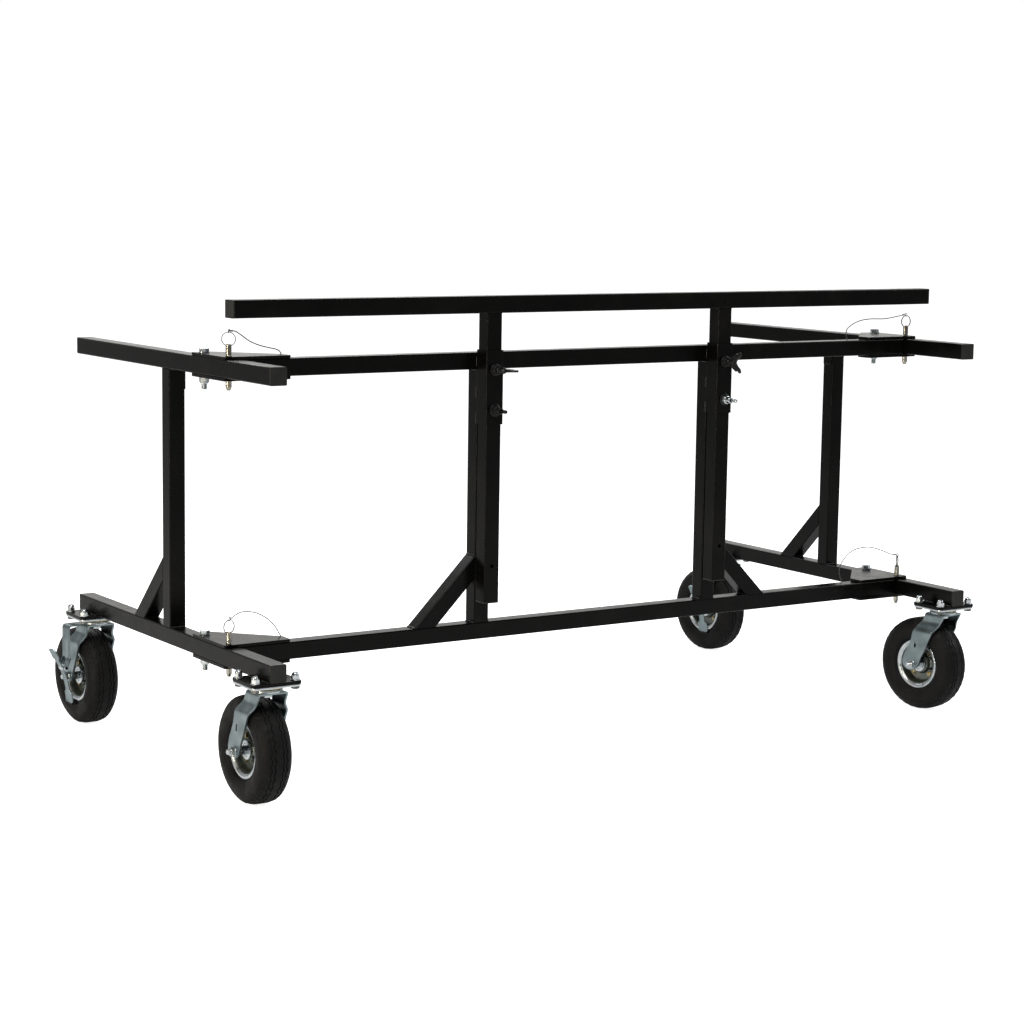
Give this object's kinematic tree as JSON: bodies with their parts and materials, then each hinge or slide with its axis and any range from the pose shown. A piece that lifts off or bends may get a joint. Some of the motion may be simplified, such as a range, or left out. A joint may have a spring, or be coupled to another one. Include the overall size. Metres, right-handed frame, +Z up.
{
  "type": "folding transport cart frame",
  "caption": "Folding transport cart frame of square tube: a centre frame with a height-adjustable top rail, and two pinned end frames on swivel casters with air-filled tyres.",
  "frame": {"origin": "on the floor, at the middle of the overall box", "axes": "+Z up, X along the rails, and the side with the lock pins and the clamping knobs faces -Y"},
  "size_m": [2.055, 1.1112, 1.0496],
  "materials": {
    "black_paint": "semi-gloss black powder coat, lightly worn",
    "zinc": "bright zinc plate, slightly dulled",
    "wire_rope": "thin galvanised wire rope",
    "tyre_rubber": "matte black rubber with a ribbed tread"
  },
  "bodies": {
    "centre_frame": {"lower_rail": "black_paint", "mid_rail": "black_paint", "uprights": "black_paint", "braces": "black_paint", "brackets_lower": "black_paint", "brackets_upper": "black_paint", "sleeves": "black_paint", "knob_bosses": "black_paint", "plunger_barrels": "zinc", "hinge_bolts": "zinc", "lanyard_screws": "zinc", "lanyard_lb": "wire_rope", "lanyard_lt": "wire_rope", "lanyard_rb": "wire_rope", "lanyard_rt": "wire_rope"},
    "lift_frame": {"top_rail": "black_paint", "legs": "black_paint", "lift_caps": "black_paint"},
    "left_end": {"end_bottom_l": "black_paint", "end_top_l": "black_paint", "post_l": "black_paint", "foot_brace_l": "black_paint", "end_caps_l": "black_paint", "caster_pads_l": "black_paint", "caster_plates_l": "zinc", "caster_bolts_l": "zinc"},
    "right_end": {"end_bottom_r": "black_paint", "end_top_r": "black_paint", "post_r": "black_paint", "foot_brace_r": "black_paint", "end_caps_r": "black_paint", "caster_pads_r": "black_paint", "caster_plates_r": "zinc", "caster_bolts_r": "zinc"},
    "pin_lb": {"lock_pin_lb": "zinc"},
    "pin_lt": {"lock_pin_lt": "zinc"},
    "pin_rb": {"lock_pin_rb": "zinc"},
    "pin_rt": {"lock_pin_rt": "zinc"},
    "knob_left": {"knob_l": "black_paint"},
    "knob_right": {"knob_r": "black_paint"},
    "plunger_left": {"plunger_l": "zinc"},
    "plunger_right": {"plunger_r": "zinc"},
    "swivel_fl": {"fork_fl": "zinc", "axle_fl": "zinc"},
    "swivel_fr": {"fork_fr": "zinc", "axle_fr": "zinc"},
    "swivel_bl": {"fork_bl": "zinc", "axle_bl": "zinc"},
    "swivel_br": {"fork_br": "zinc", "axle_br": "zinc"},
    "wheel_fl": {"rim_fl": "zinc", "tyre_fl": "tyre_rubber"},
    "wheel_fr": {"rim_fr": "zinc", "tyre_fr": "tyre_rubber"},
    "wheel_bl": {"rim_bl": "zinc", "tyre_bl": "tyre_rubber"},
    "wheel_br": {"rim_br": "zinc", "tyre_br": "tyre_rubber"},
    "lever_bl": {"brake_bl": "zinc"},
    "lever_br": {"brake_br": "zinc"}
  },
  "joints": [
    {"name": "left_fold", "type": "hinge", "parent": "centre_frame", "child": "left_end", "pos_m": [-0.91665, -0.2046, 0.29405], "axis": [0, 0, -1], "range_deg": [0, 90]},
    {"name": "right_fold", "type": "hinge", "parent": "centre_frame", "child": "right_end", "pos_m": [0.97025, -0.2046, 0.29405], "axis": [0, 0, 1], "range_deg": [0, 90]},
    {"name": "rail_lift", "type": "slide", "parent": "centre_frame", "child": "lift_frame", "axis": [0, 0, 1], "range_m": [-0.08, 0.35]},
    {"name": "knob_turn_left", "type": "hinge", "parent": "centre_frame", "child": "knob_left", "pos_m": [-0.29465, -0.4056, 0.887], "axis": [0, -1, 0], "range_deg": [0, 360]},
    {"name": "knob_turn_right", "type": "hinge", "parent": "centre_frame", "child": "knob_right", "pos_m": [0.34825, -0.4056, 0.887], "axis": [0, -1, 0], "range_deg": [0, 360]},
    {"name": "plunger_pull_left", "type": "slide", "parent": "centre_frame", "child": "plunger_left", "axis": [0, -1, 0], "range_m": [-0.0045, 0]},
    {"name": "plunger_pull_right", "type": "slide", "parent": "centre_frame", "child": "plunger_right", "axis": [0, -1, 0], "range_m": [-0.0045, 0]},
    {"name": "pin_pull_lb", "type": "slide", "parent": "centre_frame", "child": "pin_lb", "axis": [0, 0, 1], "range_m": [0, 0.08], "deforming": ["lanyard_lb"]},
    {"name": "pin_pull_lt", "type": "slide", "parent": "centre_frame", "child": "pin_lt", "axis": [0, 0, 1], "range_m": [0, 0.08], "deforming": ["lanyard_lt"]},
    {"name": "pin_pull_rb", "type": "slide", "parent": "centre_frame", "child": "pin_rb", "axis": [0, 0, 1], "range_m": [0, 0.08], "deforming": ["lanyard_rb"]},
    {"name": "pin_pull_rt", "type": "slide", "parent": "centre_frame", "child": "pin_rt", "axis": [0, 0, 1], "range_m": [0, 0.08], "deforming": ["lanyard_rt"]},
    {"name": "swivel_turn_fl", "type": "hinge", "parent": "left_end", "child": "swivel_fl", "pos_m": [-0.91665, -0.4948, 0.255], "axis": [0, 0, 1], "continuous": true},
    {"name": "swivel_turn_fr", "type": "hinge", "parent": "right_end", "child": "swivel_fr", "pos_m": [0.97025, -0.4948, 0.255], "axis": [0, 0, 1], "continuous": true},
    {"name": "swivel_turn_bl", "type": "hinge", "parent": "left_end", "child": "swivel_bl", "pos_m": [-0.91665, 0.3836, 0.255], "axis": [0, 0, 1], "continuous": true},
    {"name": "swivel_turn_br", "type": "hinge", "parent": "right_end", "child": "swivel_br", "pos_m": [0.97025, 0.3836, 0.255], "axis": [0, 0, 1], "continuous": true},
    {"name": "wheel_roll_fl", "type": "hinge", "parent": "swivel_fl", "child": "wheel_fl", "pos_m": [-0.91665, -0.4388, 0.1155], "axis": [1, 0, 0], "continuous": true},
    {"name": "wheel_roll_fr", "type": "hinge", "parent": "swivel_fr", "child": "wheel_fr", "pos_m": [0.96246, -0.43934, 0.1155], "axis": [0.9903, 0.1392, 0], "continuous": true},
    {"name": "wheel_roll_bl", "type": "hinge", "parent": "swivel_bl", "child": "wheel_bl", "pos_m": [-0.9186, 0.43957, 0.1155], "axis": [0.9994, 0.0349, 0], "continuous": true},
    {"name": "wheel_roll_br", "type": "hinge", "parent": "swivel_br", "child": "wheel_br", "pos_m": [0.96537, 0.43939, 0.1155], "axis": [0.9962, 0.0872, 0], "continuous": true},
    {"name": "brake_rock_bl", "type": "hinge", "parent": "swivel_bl", "child": "lever_bl", "pos_m": [-0.99509, 0.39487, 0.148], "axis": [0.0349, -0.9994, 0], "range_deg": [0, 5]},
    {"name": "brake_rock_br", "type": "hinge", "parent": "swivel_br", "child": "lever_br", "pos_m": [0.89133, 0.39075, 0.148], "axis": [0.0872, -0.9962, 0], "range_deg": [0, 5]}
  ]
}
